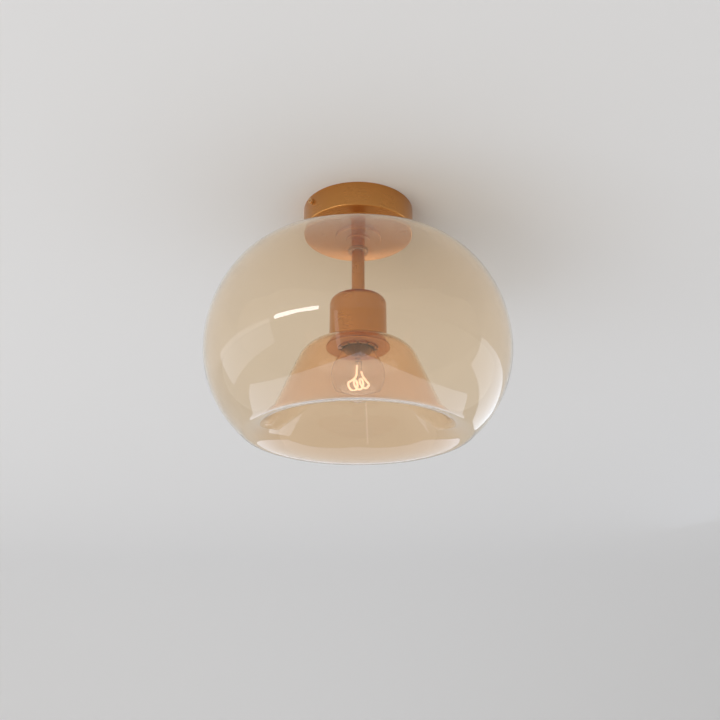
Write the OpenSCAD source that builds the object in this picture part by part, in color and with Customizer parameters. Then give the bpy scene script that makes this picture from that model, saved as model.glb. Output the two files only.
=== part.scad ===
// Semi-flush ceiling light: brass canopy, stem and lampholder cup inside a double-walled amber glass
// whose outer bowl folds round at the bottom and rises inside as a bell.
// Millimetres. The ceiling is the plane z = 0 and the light hangs below it, along -Z.

/* [Ceiling bracket] */
// Thickness of the bracket's steel
bar_t = 2; // [1.5:0.1:2.5]
// Width of the bracket's bar
bar_w = 16; // [14:0.5:18]
// Height of the bracket's bent-down ears
ear_drop = 15; // [13:0.5:18]
// Play between an ear's corner and the canopy's wall
ear_play = 0.65; // [0.4:0.05:1.5]
// Distance between the two holes for the ceiling screws
fixing_span = 80; // [78:0.5:86]
// Diameter of the holes for the ceiling screws
fixing_hole_d = 5.2; // [4.5:0.1:6]
// Diameter of the hole for the supply cable
cable_hole_d = 14; // [10:0.5:15]
// Turn of the bracket and its side screws about the vertical, in degrees
bracket_turn = 35.5; // [0:0.5:90]

/* [Terminal block] */
// Distance from the centre to the block's near end
block_start = 9.5; // [9:0.1:10]
// Distance between neighbouring poles
pole_pitch = 8; // [7.8:0.1:8.1]
// Number of poles
pole_count = 3; // [3:1:3]
// Length of a pole's wire channel, across the bar
block_depth = 15; // [14:0.5:16]
// Height of the block below the bar
block_h = 12; // [11.5:0.5:13]
// Depth of the wire channels' centre below the bar
channel_drop = 5.5; // [5:0.1:6]
// Diameter of the brass sleeves
sleeve_d = 3.8; // [3.7:0.1:4]
// Diameter of the clamp screws
clamp_screw_d = 2.6; // [2.2:0.1:2.8]

/* [Canopy] */
// Diameter of the canopy
canopy_d = 120; // [117:0.5:126]
// Height of the canopy
canopy_h = 28; // [26:0.5:32]
// Thickness of the canopy's sheet
canopy_wall = 1.2; // [1:0.1:1.6]
// Radius of the canopy's lower edge
canopy_edge_r = 1.6; // [1:0.1:3]

/* [Side screws] */
// Thread diameter of the side screws
side_screw_d = 4; // [3.5:0.1:4.5]
// Length of a side screw below its head
side_screw_len = 11; // [8:0.5:13]
// Depth of the side screws below the ceiling
side_screw_drop = 8.5; // [7:0.5:10]
// Diameter of a side screw's head
side_head_d = 5.8; // [5:0.1:6.5]
// Height of a side screw's head
side_head_h = 2.2; // [1.8:0.1:3]
// Width across flats of a side screw's socket
side_socket_af = 2.5; // [2:0.1:3]
// Diameter of the washer under the head
side_washer_d = 6.6; // [6:0.1:8]
// Thickness of the washer under the head
side_washer_t = 0.5; // [0.4:0.1:1]

/* [Stem] */
// Diameter of the stem tube
stem_d = 14; // [13:0.5:16]
// Length of the stem tube
stem_len = 71.7; // [66:0.1:80]
// Diameter of the round collar under the canopy
flange_d = 50; // [44:0.5:56]
// Thickness of the round collar
flange_t = 4.3; // [3:0.1:6]
// Diameter of the round nut under the collar
flange_nut_d = 26; // [22:0.5:30]
// Thickness of the round nut
flange_nut_t = 2.5; // [2:0.1:4]
// Thread diameter of both nipples
nipple_d = 10; // [9.5:0.1:10.5]
// Bore of both nipples, where the wires pass
nipple_bore = 7; // [6.6:0.1:7.4]
// Depth that a nipple screws into the stem
nipple_grip = 12; // [8:0.5:20]
// Length of the nipple that stands above the canopy's lock nut
nipple_stand = 3; // [2:0.5:4]
// Width across flats of the lock nuts
nut_af = 14; // [13:0.5:16]
// Height of the lock nuts
nut_h = 3; // [2.5:0.1:3.5]

/* [Cup] */
// Diameter of the lampholder cup
cup_d = 60; // [57:0.5:60.5]
// Height of the lampholder cup
cup_h = 56; // [56:0.5:60]
// Thickness of the cup's sheet
cup_wall = 1.2; // [1:0.1:1.6]
// Radius of the cup's shoulder
cup_shoulder_r = 8; // [4:0.5:12]

/* [Lampholder] */
// Outside diameter of the lampholder's cap
holder_cap_d = 40; // [39.6:0.2:42]
// Crest diameter of the lampholder's outer thread
holder_thread_d = 41.2; // [40.8:0.1:42]
// Inside diameter of the lampholder's mouth
holder_mouth_d = 35; // [34.4:0.2:36]
// Pitch of the lampholder's outer thread
holder_pitch = 3; // [2.5:0.1:3.5]
// Height of the space for wires under the cap
wire_space_h = 4.5; // [4.5:0.1:5]
// Thickness of the ceramic disc with the contacts
carrier_t = 4.3; // [3.8:0.1:5]
// Inside diameter of the brass screw shell
shell_bore = 27; // [26.9:0.1:27.4]
// Length of the brass screw shell
shell_len = 21; // [19:0.5:22]
// Length of the lampholder's mouth below the cup
holder_reach = 3; // [2.5:0.1:5]
// Number of notches round the lampholder's mouth
notch_count = 12; // [8:1:16]

/* [Shade ring] */
// Outside diameter of the ring that carries the glass
ring_d = 66.6; // [65.6:0.2:70]
// Thickness of the ring
ring_t = 1.6; // [1.2:0.1:2.5]
// Height of the ring's threaded hub
hub_h = 7; // [5:0.5:9]
// Thickness of the silicone gasket on the ring
gasket_t = 0.5; // [0.4:0.1:1]

/* [Glass] */
// Greatest diameter of the glass
glass_d = 318; // [312:1:326]
// Height of the glass from its crown to its bottom fold
glass_h = 211.7; // [206:0.1:214]
// Depth of the greatest diameter below the crown
glass_widest = 120; // [117:0.5:124]
// Thickness of the glass
glass_t = 2; // [1.6:0.1:2.6]
// Radius of the nearly flat crown
crown_r = 365; // [330:5:400]
// Slope at the crown's edge, in degrees
crown_slope = 13.5; // [12.5:0.5:14.5]
// Slope where the shoulder turns into the flank, in degrees
shoulder_slope = 55; // [52:1:58]
// Angle below level where the flank turns into the fold, in degrees
fold_start = 50; // [48:1:52]
// Radius of the fold's outer side
fold_r = 9; // [7:0.5:11]
// Height from the fold up to the bell's neck
bell_h = 96.2; // [92:0.1:100]
// Radius at which the bell's straight side would meet its neck
bell_top_r = 53.1; // [51:0.1:55]
// Slope of the bell's side from the vertical, in degrees
bell_slope = 23.4; // [22:0.2:24.6]
// Radius between the bell's side and its neck
bell_round_r = 27; // [20:0.5:29]
// Diameter of the glass's hole at the crown
crown_hole_d = 18; // [17.5:0.5:24]

/* [Bulb] */
// Diameter of the bulb
bulb_d = 56; // [54:0.5:60]
// Length of the bulb
bulb_len = 98; // [96:0.5:104]
// Thread diameter of the bulb's cap
cap_thread_d = 26.3; // [26:0.1:26.4]
// Pitch of the bulb's thread
cap_pitch = 3.629; // [3.5:0.001:3.7]
// Length of the bulb cap's threaded shell
cap_len = 19; // [18:0.5:20]
// Diameter of the bulb's neck below its cap
bulb_neck_d = 26; // [25.6:0.1:26.4]
// Thickness of the bulb's glass
bulb_wall = 0.8; // [0.6:0.1:1]
// Diameter of the filament
filament_d = 1.8; // [1.4:0.1:2.2]
// Radius of the filament's curls
curl_r = 5.2; // [4.6:0.1:5.6]
// Distance between neighbouring curls
curl_pitch = 7.4; // [6.6:0.1:7.8]
// Height of the curls' axis above the bulb's bottom
curl_height = 17.5; // [16:0.5:19]

/* [Wires] */
// Diameter of the insulated wires
wire_d = 2.2; // [2:0.1:2.4]

/* [Hidden] */

// Clearances: threads and sleeves of one body, a screw that turns in its hole, plain fits,
// and pieces that move past each other
thread_gap = 0.05;
turn_gap = 0.08;
fit_gap = 0.1;
run_gap = 0.3;
// Extra length that carries a cut through a face
cut = 1;
round_fn = 96;
wire_sides = 8;

// Levels from the ceiling down
z_bar = -bar_t;
z_canopy = -canopy_h;
z_floor = z_canopy + canopy_wall;
z_flange = z_canopy - flange_t;
z_stem_top = z_flange - flange_nut_t;
z_stem_bottom = z_stem_top - stem_len;
z_cup_bottom = z_stem_bottom - cup_h;
z_neck = z_cup_bottom;
z_ring = z_neck - gasket_t;
z_fold = z_neck - bell_h;
z_crown = z_fold + glass_h;
z_widest = z_crown - glass_widest;

// Lock nuts, washers and tags
tag_t = 0.8;
tooth_washer_t = 0.6;
z_canopy_nut = z_floor + tag_t + tooth_washer_t;
z_nipple_top = z_canopy_nut + nut_h + nipple_stand;
z_cup_under = z_stem_bottom - cup_wall;
z_holder_top = z_cup_under - nut_h;
cap_neck_h = 3.5;
z_wire_space = z_holder_top - cap_neck_h;
z_carrier_top = z_wire_space - wire_space_h;
z_carrier = z_carrier_top - carrier_t;
z_holder_mouth = z_ring - holder_reach;
nipple_r = nipple_d / 2;
nipple_hole_r = nipple_r + thread_gap;

// Bracket and side screws, measured along the bar
canopy_r = canopy_d / 2;
canopy_in_r = canopy_r - canopy_wall;
ear_r = sqrt(pow(canopy_in_r - ear_play, 2) - pow(bar_w / 2, 2));
side_seat_r = canopy_r + run_gap;
side_head_r = side_seat_r + side_washer_t + fit_gap;
z_side = -side_screw_drop;

// Terminal block
block_len = pole_pitch * pole_count;
z_channel = z_bar - channel_drop;
z_block = z_bar - block_h;
clamp_offset = block_depth / 4;
sleeve_wall = 0.6;
sleeve_inset = 1;
fixing_screw_d = 3;
fixing_screw_u = block_start + pole_pitch;
function pole_u(i) = block_start + pole_pitch * (i + 0.5);

// Earth screw and ring tags
earth_u = -14;
earth_screw_d = 4;
earth_head_d = 7.2;
earth_head_h = 2.4;
earth_washer_t = 0.8;
tag_ring_d = 9;
barrel_d = 3.4;
barrel_len = 4;
tag_reach = 5;
nipple_tag_d = 16;
z_top_barrel = z_bar - barrel_d / 2;
z_low_barrel = z_floor + barrel_d / 2;
u_top_barrel = earth_u - tag_reach;
u_low_barrel = -nipple_tag_d / 2 - tag_reach + 1;

// Lampholder
holder_cap_wall = 1.6;
carrier_r = holder_mouth_d / 2 - 0.9;
ledge_t = 2.5;
body_in_r = holder_mouth_d / 2;
spigot_h = 7;
spigot_r = holder_cap_d / 2 - holder_cap_wall - fit_gap;
thread_depth = 0.7;
shell_t = 0.4;
shell_wave = 0.9;
shell_lip = 0.5;
shell_lip_r = 9;
notch_w = 2;
notch_h = 1.5;
contact_t = 0.5;
dimple_r = 2;
dimple_h = 0.5;
terminal_u = 9;
terminal_w = 5;
terminal_h = 3.2;
terminal_screw_d = 2.4;
z_terminal_wire = z_carrier_top + terminal_h / 2;
z_contact = z_carrier - contact_t - dimple_h;

// Shade ring and gasket
hub_r = holder_thread_d / 2 + 0.15;
hub_wall = 1.6;
gasket_sleeve_t = 0.6;
gasket_sleeve_h = 2.8;
cup_r = cup_d / 2;
neck_hole_r = cup_r + gasket_sleeve_t + 3 * fit_gap;

// Grommet
stem_r = stem_d / 2;
grommet_lip = 2;
grommet_lip_t = 0.9;

// Bulb, from its contact tip down
z_tip = z_contact - run_gap;
tip_h = 1.2;
tip_r = 4.8;
insulator_h = 3.5;
insulator_r = 10.8;
z_cap_top = z_tip - tip_h - insulator_h;
z_cap_bottom = z_cap_top - cap_len;
z_bulb = z_tip - bulb_len;
bulb_r = bulb_d / 2;
z_bulb_centre = z_bulb + bulb_r;
cap_wall = 0.3;
cap_wave = 0.8;
cap_seat = 2;
neck_r = bulb_neck_d / 2;
neck_seat_r = cap_thread_d / 2 - cap_wave - cap_wall - thread_gap;
z_neck_seat = z_cap_bottom + cap_seat;
mount_r = 3;
mount_flare_r = neck_seat_r - bulb_wall - fit_gap;
press_w = 7;
press_t = 2.4;
press_h = 5;
flare_t = 1;
flare_h = 5;
lead_r = 0.35;
lead_gap = 0.15;
z_press = z_bulb + 46;

// Direction from an angle, and points along an arc of one
function dir(a) = [cos(a), sin(a)];
function arc(c, r, a0, a1, n) = [for (i = [0 : n]) c + r * dir(a0 + (a1 - a0) * i / n)];

// The glass's skin is a chain of arcs that meet on common normals, from the crown's hole over the
// shoulder, the widest place, the fold and the bell up to the neck. Angles are those of the
// outward normal. An inset moves the whole chain into the glass.
glass_r = glass_d / 2;
a_crown = 90 - crown_slope;
a_shoulder = 90 - shoulder_slope;
a_fold = -fold_start;
a_bell = bell_slope - 180;
crown_edge = [crown_r * cos(a_crown), z_crown - crown_r * (1 - sin(a_crown))];
// The shoulder's and the upper flank's radii close the way from crown to widest place
to_widest = [glass_r - crown_edge.x, crown_edge.y - z_widest];
run_a = cos(a_shoulder) - cos(a_crown);
run_b = 1 - cos(a_shoulder);
fall_a = sin(a_crown) - sin(a_shoulder);
fall_b = sin(a_shoulder);
turn_det = run_a * fall_b - run_b * fall_a;
shoulder_r = (to_widest.x * fall_b - to_widest.y * run_b) / turn_det;
flank_r = (to_widest.y * run_a - to_widest.x * fall_a) / turn_det;
// The lower flank's radius closes the way down to the fold
low_flank_r = (z_widest - z_fold - fold_r * (1 - sin(fold_start))) / sin(fold_start);
// The fold's inner radius closes the way to the bell's straight side
c_crown = [0, z_crown - crown_r];
c_shoulder = c_crown + (crown_r - shoulder_r) * dir(a_crown);
c_flank = c_shoulder + (shoulder_r - flank_r) * dir(a_shoulder);
c_low_flank = c_flank + (flank_r - low_flank_r) * dir(0);
c_fold = c_low_flank + (low_flank_r - fold_r) * dir(a_fold);
inner_fold_r = (c_fold.x - bell_top_r - tan(bell_slope) * bell_h)
    / (cos(bell_slope) - tan(bell_slope) * (1 - sin(bell_slope)));
c_inner_fold = c_fold + (fold_r - inner_fold_r) * dir(-90);
bell_turn = tan((90 - bell_slope) / 2);
bell_round = min(bell_round_r, (bell_top_r - neck_hole_r - glass_t) / bell_turn);
c_bell_round = [bell_top_r - bell_round * bell_turn, z_neck - bell_round];
crown_hole_r = crown_hole_d / 2;

function crown_start(inset) = acos(crown_hole_r / (crown_r - inset));
function bowl_skin(inset) = concat(
    arc(c_crown, crown_r - inset, crown_start(inset), a_crown, 6),
    arc(c_shoulder, shoulder_r - inset, a_crown, a_shoulder, 12),
    arc(c_flank, flank_r - inset, a_shoulder, 0, 9),
    arc(c_low_flank, low_flank_r - inset, 0, a_fold, 12),
    arc(c_fold, fold_r - inset, a_fold, -90, 5));
function bell_skin(inset) = concat(
    arc(c_inner_fold, inner_fold_r - inset, -90, a_bell, 8),
    arc(c_bell_round, bell_round + inset, a_bell + 180, 90, 8),
    [[neck_hole_r, z_neck + inset]]);

// The bulb's outline: a sphere and a hollow neck curve that touches it
neck_turn = z_cap_bottom - z_bulb_centre;
neck_curve_r = (pow(neck_turn, 2) - pow(bulb_r, 2) + pow(neck_r, 2)) / (2 * (bulb_r - neck_r));
c_neck_curve = [neck_r + neck_curve_r, z_cap_bottom];
a_neck = atan2(neck_turn, c_neck_curve.x);
function bulb_skin(inset) = concat(
    [[neck_seat_r - inset, z_neck_seat], [neck_seat_r - inset, z_cap_bottom]],
    arc(c_neck_curve, neck_curve_r + inset, 180, 180 + a_neck, 12),
    arc([0, z_bulb_centre], bulb_r - inset, a_neck, -90, 28));

// Routes. The wires' points are along the bar, across it and up.
live_points = [[13.5, 1, -7.5], [13.5, 5, -7.5], [13.5, 9, -7.7], [12, 12, -9], [8, 12, -11],
    [4, 8, -12], [2, 3.5, -13], [1.3, 0.7, -16], [1.3, 0, -20], [1.3, 0, -50], [1.3, 0, -80],
    [1.3, 0, -108], [1.6, 0, -113], [3.8, 0, -116.2], [6.4, 0, -117.1], [9.5, 0, -117.1]];
neutral_points = [[21.5, 1, -7.5], [21.5, 5, -7.5], [21.5, 9, -7.7], [19.5, 13, -9.2],
    [14, 15, -12.5], [7, 13, -15], [1, 8.5, -15], [-1.2, 3.6, -15.2], [-1.3, 0.7, -17.5],
    [-1.3, 0, -21], [-1.3, 0, -50], [-1.3, 0, -80], [-1.3, 0, -108], [-1.6, 0, -113],
    [-3.8, 0, -116.2], [-6.4, 0, -117.1], [-9.5, 0, -117.1]];
earth_points = [[-19.5, 0, -3.7], [-24, 0, -3.8], [-27.5, 0, -6], [-29.5, 0, -11],
    [-28.5, 0, -17], [-24, 0, -22.5], [-19.5, 0, -24.8], [-16.5, 0, -25.1], [-13, 0, -25.1]];

// A smooth path through points, with a few steps between each two
function at(p, i) = p[max(0, min(i, len(p) - 1))];
function between(a, b, c, d, t) = 0.5 * (2 * b + (c - a) * t
    + (2 * a - 5 * b + 4 * c - d) * t * t + (3 * b - a - 3 * c + d) * t * t * t);
function smooth(p, steps) = concat(
    [for (i = [0 : len(p) - 2], k = [0 : steps - 1])
        between(at(p, i - 1), p[i], p[i + 1], at(p, i + 2), k / steps)],
    [p[len(p) - 1]]);

// Frames along a path that turn as little as possible
function unit(v) = v / norm(v);
function tangent(p, i) = unit(at(p, i + 1) - at(p, i - 1));
function square_to(n, t) = unit(n - (n * t) * t);
function frames(p, n0) = [for (i = 0, n = square_to(n0, tangent(p, 0)); i < len(p);
    i = i + 1, n = square_to(n, tangent(p, min(i, len(p) - 1)))) n];

// A solid tube along a path
module tube_along(p, r, n0) {
    n = frames(p, n0);
    points = [for (i = [0 : len(p) - 1], k = [0 : wire_sides - 1])
        let (a = 360 * k / wire_sides)
        p[i] + r * (cos(a) * n[i] + sin(a) * cross(tangent(p, i), n[i]))];
    last = (len(p) - 1) * wire_sides;
    sides = [for (i = [0 : len(p) - 2], k = [0 : wire_sides - 1])
        let (a = i * wire_sides + k, b = i * wire_sides + (k + 1) % wire_sides)
        each [[a, b + wire_sides, b], [a, a + wire_sides, b + wire_sides]]];
    ends = [[for (k = [0 : wire_sides - 1]) k],
        [for (k = [wire_sides - 1 : -1 : 0]) last + k]];
    polyhedron(points, concat(sides, ends));
}

// A ring between two radii and two levels
module ring(r_in, r_out, z_low, z_high) {
    translate([0, 0, z_low]) difference() {
        cylinder(h = z_high - z_low, r = r_out, $fn = round_fn);
        translate([0, 0, -cut]) cylinder(h = z_high - z_low + 2 * cut, r = r_in, $fn = round_fn);
    }
}

// A disc or shaft between two levels
module rod(r, z_low, z_high) {
    translate([0, 0, z_low]) cylinder(h = z_high - z_low, r = r, $fn = round_fn);
}

// A rod along the bar between two places, at a level
module bar_rod(r, u_low, u_high, z) {
    translate([u_low, 0, z]) rotate([0, 90, 0]) cylinder(h = u_high - u_low, r = r, $fn = round_fn);
}

// A solid of revolution of an outline
module turned(outline) {
    rotate_extrude($fn = round_fn) polygon(outline);
}

// Turns what lies along X onto the bar
module on_bar() {
    rotate([0, 0, bracket_turn]) children();
}

// A waved wall, as a drawn screw thread shows in section
function wave(r, depth, pitch, z_high, z_low) = let (n = floor((z_high - z_low) / pitch))
    [for (i = [0 : 4 * n]) [r - depth * (1 - cos(90 * i)) / 2, z_high - i * pitch / 4]];

function reversed(list) = [for (i = [len(list) - 1 : -1 : 0]) list[i]];

// Ceiling bracket
module ceiling_bracket() {
    color("silver") on_bar() difference() {
        union() {
            translate([-ear_r, -bar_w / 2, z_bar]) cube([2 * ear_r, bar_w, bar_t]);
            for (side = [-1, 1])
                translate([side * (ear_r - bar_t / 2) - bar_t / 2, -bar_w / 2, -ear_drop])
                    cube([bar_t, bar_w, ear_drop]);
        }
        rod(cable_hole_d / 2, z_bar - cut, cut);
        for (side = [-1, 1])
            translate([side * fixing_span / 2, 0, 0]) rod(fixing_hole_d / 2, z_bar - cut, cut);
        for (side = [-1, 1])
            rotate([0, 0, side > 0 ? 0 : 180])
                bar_rod(side_screw_d / 2 + turn_gap, ear_r - bar_t - cut, ear_r + cut, z_side);
        translate([fixing_screw_u, 0, 0])
            rod(fixing_screw_d / 2 + thread_gap, z_bar - cut, cut);
        translate([earth_u, 0, 0]) rod(earth_screw_d / 2 + thread_gap, z_bar - cut, cut);
    }
}

// Terminal block
module each_pole() {
    for (i = [0 : pole_count - 1]) translate([pole_u(i), 0, 0]) children();
}

module each_clamp() {
    each_pole() for (side = [-1, 1]) translate([0, side * clamp_offset, 0]) children();
}

module across_rod(r, length, z) {
    translate([0, length / 2, z]) rotate([90, 0, 0]) cylinder(h = length, r = r, $fn = round_fn);
}

module terminal_block() {
    head_r = fixing_screw_d + thread_gap;
    color("whitesmoke") on_bar() difference() {
        translate([block_start, -block_depth / 2, z_block])
            cube([block_len, block_depth, block_h]);
        each_pole() across_rod(sleeve_d / 2 + thread_gap, block_depth + 2 * cut, z_channel);
        each_clamp() rod(clamp_screw_d / 2 + fit_gap, z_block - cut, z_channel);
        translate([fixing_screw_u, 0, 0]) {
            rod(fixing_screw_d / 2 + thread_gap, z_block - cut, z_bar + cut);
            rod(head_r, z_block - cut, z_block + block_h / 4);
        }
    }
}

module terminal_sleeves() {
    length = block_depth - 2 * sleeve_inset;
    color("gold") on_bar() difference() {
        each_pole() across_rod(sleeve_d / 2, length, z_channel);
        each_pole() across_rod(sleeve_d / 2 - sleeve_wall, length + 2 * cut, z_channel);
        each_clamp() rod(clamp_screw_d / 2 + thread_gap, z_channel - sleeve_d, z_channel);
    }
}

module terminal_screws() {
    slot_w = 0.5;
    slot_h = 0.6;
    z_low = z_block + 0.8;
    z_high = z_channel - wire_d / 2 - thread_gap;
    color("silver") on_bar() each_clamp() difference() {
        rod(clamp_screw_d / 2, z_low, z_high);
        translate([-clamp_screw_d, -slot_w / 2, z_low - slot_h])
            cube([2 * clamp_screw_d, slot_w, 2 * slot_h]);
    }
}

module slotted_screw(d, head_d, z_seat, head_h, z_end) {
    slot_w = 0.8;
    difference() {
        union() {
            rod(d / 2, z_seat - head_h / 2, z_end);
            rod(head_d / 2, z_seat - head_h, z_seat);
        }
        translate([-head_d, -slot_w / 2, z_seat - 1.5 * head_h])
            cube([2 * head_d, slot_w, head_h]);
    }
}

module terminal_fixing_screw() {
    color("silver") on_bar() translate([fixing_screw_u, 0, 0])
        slotted_screw(fixing_screw_d, 2 * fixing_screw_d, z_block + block_h / 4, 1.8, -fit_gap);
}

// Earth
module earth_screw() {
    z_seat = z_bar - tag_t - earth_washer_t;
    color("goldenrod") on_bar() translate([earth_u, 0, 0]) {
        slotted_screw(earth_screw_d, earth_head_d, z_seat, earth_head_h, -fit_gap);
        ring(earth_screw_d / 2, earth_head_d / 2, z_seat, z_seat + earth_washer_t);
    }
}

module tag(ring_r, hole_r, u_barrel, z_low, z_barrel) {
    difference() {
        union() {
            rod(ring_r, z_low, z_low + tag_t);
            translate([u_barrel - barrel_len / 2, -barrel_d / 2, z_low])
                cube([-u_barrel + barrel_len / 2, barrel_d, tag_t]);
            bar_rod(barrel_d / 2, u_barrel - barrel_len, u_barrel, z_barrel);
        }
        rod(hole_r, z_low - cut, z_low + tag_t + cut);
        bar_rod(wire_d / 2 + thread_gap, u_barrel - barrel_len - cut, u_barrel + cut, z_barrel);
    }
}

module earth_tags() {
    color("silver") on_bar() {
        translate([earth_u, 0, 0])
            tag(tag_ring_d / 2, earth_screw_d / 2 + thread_gap, -tag_reach, z_bar - tag_t,
                z_top_barrel);
        tag(nipple_tag_d / 2, nipple_hole_r, u_low_barrel, z_floor, z_low_barrel);
    }
}

module earth_wire() {
    color("limegreen") on_bar() tube_along(smooth(earth_points, 4), wire_d / 2, [0, 1, 0]);
}

// Canopy, open at the ceiling
module canopy() {
    e = canopy_edge_r;
    inner_e = max(e - canopy_wall, 0.2);
    outline = concat(
        [[nipple_hole_r, z_canopy]],
        arc([canopy_r - e, z_canopy + e], e, -90, 0, 6),
        [[canopy_r, 0], [canopy_in_r, 0]],
        arc([canopy_in_r - inner_e, z_floor + inner_e], inner_e, 0, -90, 3),
        [[nipple_hole_r, z_floor]]);
    color("darkgoldenrod") difference() {
        turned(outline);
        on_bar() for (side = [0, 180])
            rotate([0, 0, side])
                bar_rod(side_screw_d / 2 + run_gap, canopy_in_r - cut, canopy_r + cut, z_side);
    }
}

// Side screws and their washers
module side_screw(side) {
    socket_r = side_socket_af / sqrt(3);
    head_end = side_head_r + side_head_h;
    on_bar() rotate([0, 0, side]) difference() {
        union() {
            bar_rod(side_screw_d / 2, side_head_r - side_screw_len, head_end - side_head_h / 2, z_side);
            bar_rod(side_head_d / 2, side_head_r, head_end, z_side);
        }
        translate([head_end - side_head_h / 1.5, 0, z_side]) rotate([0, 90, 0])
            cylinder(h = side_head_h, r = socket_r, $fn = 6);
    }
}

module side_washer(side) {
    on_bar() rotate([0, 0, side]) difference() {
        bar_rod(side_washer_d / 2, side_seat_r, side_seat_r + side_washer_t, z_side);
        bar_rod(side_screw_d / 2 + turn_gap, side_seat_r - cut, side_head_r + cut, z_side);
    }
}

module canopy_screw_left() {
    color("gold") side_screw(180);
}

module canopy_screw_right() {
    color("gold") side_screw(0);
}

module canopy_washer_left() {
    color("gold") side_washer(180);
}

module canopy_washer_right() {
    color("gold") side_washer(0);
}

// Nipples, nuts and washers
module lock_nut(z_low) {
    translate([0, 0, z_low]) difference() {
        cylinder(h = nut_h, r = nut_af / sqrt(3), $fn = 6);
        translate([0, 0, -cut]) cylinder(h = nut_h + 2 * cut, r = nipple_hole_r, $fn = round_fn);
    }
}

module canopy_nipple() {
    color("silver") ring(nipple_bore / 2, nipple_r, z_stem_top - nipple_grip, z_nipple_top);
}

module canopy_nut() {
    color("silver") on_bar() lock_nut(z_canopy_nut);
}

module tooth_washer() {
    teeth = 10;
    washer_r = nut_af / 2 + 1;
    tooth_d = 1.6;
    z_low = z_floor + tag_t;
    color("silver") difference() {
        ring(nipple_hole_r, washer_r, z_low, z_low + tooth_washer_t);
        for (i = [0 : teeth - 1])
            rotate([0, 0, 360 * i / teeth]) translate([washer_r, 0, 0])
                rod(tooth_d / 2, z_low - cut, z_low + tooth_washer_t + cut);
    }
}

module cup_nipple() {
    color("silver") ring(nipple_bore / 2, nipple_r, z_wire_space, z_stem_bottom + nipple_grip);
}

module cup_nut() {
    color("silver") lock_nut(z_cup_under - nut_h);
}

// Collar, round nut and stem
module stem_flange() {
    edge = 0.8;
    r = flange_d / 2;
    color("darkgoldenrod") turned(concat(
        [[nipple_hole_r, z_canopy], [nipple_hole_r, z_flange]],
        arc([r - edge, z_flange + edge], edge, -90, 0, 4),
        [[r, z_canopy]]));
}

module flange_nut() {
    edge = 0.5;
    r = flange_nut_d / 2;
    color("darkgoldenrod") turned([[nipple_hole_r, z_flange], [nipple_hole_r, z_stem_top],
        [r - edge, z_stem_top], [r, z_stem_top + edge], [r, z_flange]]);
}

module stem_tube() {
    color("darkgoldenrod") ring(nipple_hole_r, stem_r, z_stem_bottom, z_stem_top);
}

// Soft bush between stem and glass
module glass_grommet() {
    in_r = stem_r + thread_gap;
    web_r = crown_hole_r - fit_gap;
    lip_r = crown_hole_r + grommet_lip;
    z_top = z_crown + thread_gap;
    z_under = z_crown - (glass_t + pow(lip_r, 2) / crown_r);
    color("lightyellow") turned([[in_r, z_under - grommet_lip_t], [lip_r, z_under - grommet_lip_t],
        [lip_r, z_under], [web_r, z_under], [web_r, z_top], [lip_r, z_top],
        [lip_r, z_top + grommet_lip_t], [in_r, z_top + grommet_lip_t]]);
}

// Double-walled glass, blown as one piece and drawn as two that meet in the fold's lowest circle
module glass_bowl() {
    color("sandybrown", 0.5) turned(concat(bowl_skin(0), reversed(bowl_skin(glass_t))));
}

module glass_bell() {
    color("sandybrown", 0.5) turned(concat(bell_skin(0), reversed(bell_skin(glass_t))));
}

// Cup over the lampholder, open below
module cup() {
    s = cup_shoulder_r;
    inner_s = s - cup_wall;
    color("darkgoldenrod") turned(concat(
        [[nipple_hole_r, z_stem_bottom]],
        arc([cup_r - s, z_stem_bottom - s], s, 90, 0, 8),
        [[cup_r, z_cup_bottom], [cup_r - cup_wall, z_cup_bottom]],
        arc([cup_r - s, z_stem_bottom - s], inner_s, 0, 90, 8),
        [[nipple_hole_r, z_cup_under]]));
}

// Lampholder
module lampholder_cap() {
    r = holder_cap_d / 2;
    in_r = r - holder_cap_wall;
    neck = nipple_r + 3;
    z_low = z_carrier - ledge_t;
    color("dimgray") turned([[nipple_hole_r, z_holder_top], [neck, z_holder_top],
        [r - 2, z_wire_space], [r, z_wire_space - 2], [r, z_low], [in_r, z_low],
        [in_r, z_wire_space - holder_cap_wall], [in_r - 1, z_wire_space],
        [nipple_hole_r, z_wire_space]]);
}

module lampholder_body() {
    crest = holder_thread_d / 2;
    z_join = z_carrier - ledge_t - fit_gap;
    ledge_r = shell_bore / 2 + shell_wave + shell_t + run_gap;
    thread = wave(crest, thread_depth, holder_pitch, z_join, z_holder_mouth + notch_h);
    color("dimgray") difference() {
        turned(concat(
            [[ledge_r, z_carrier], [carrier_r + fit_gap, z_carrier],
            [carrier_r + fit_gap, z_join + spigot_h], [spigot_r, z_join + spigot_h],
            [spigot_r, z_join]],
            thread,
            [[crest, z_holder_mouth], [body_in_r, z_holder_mouth],
            [body_in_r, z_carrier - ledge_t], [ledge_r, z_carrier - ledge_t]]));
        for (i = [0 : notch_count - 1])
            rotate([0, 0, 360 * i / notch_count])
                translate([body_in_r - cut, -notch_w / 2, z_holder_mouth - cut])
                    cube([crest - body_in_r + 2 * cut, notch_w, notch_h + cut]);
    }
}

module contact_carrier() {
    color("linen") rod(carrier_r, z_carrier, z_carrier_top);
}

module thread_shell() {
    z_wave = z_carrier - shell_lip;
    inside = wave(shell_bore / 2 + shell_wave, shell_wave, cap_pitch, z_wave, z_carrier - shell_len);
    outside = [for (p = inside) p + [shell_t, 0]];
    color("gold") turned(concat([[shell_lip_r, z_carrier], [shell_lip_r, z_wave]], inside,
        reversed(outside), [[outside[0].x, z_carrier]]));
}

module centre_contact() {
    reach = 7.5;
    half_w = 2.5;
    color("gold") on_bar() {
        translate([-reach, -half_w, z_carrier - contact_t])
            cube([reach + half_w, 2 * half_w, contact_t]);
        rod(dimple_r, z_contact, z_carrier - contact_t);
    }
}

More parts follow.
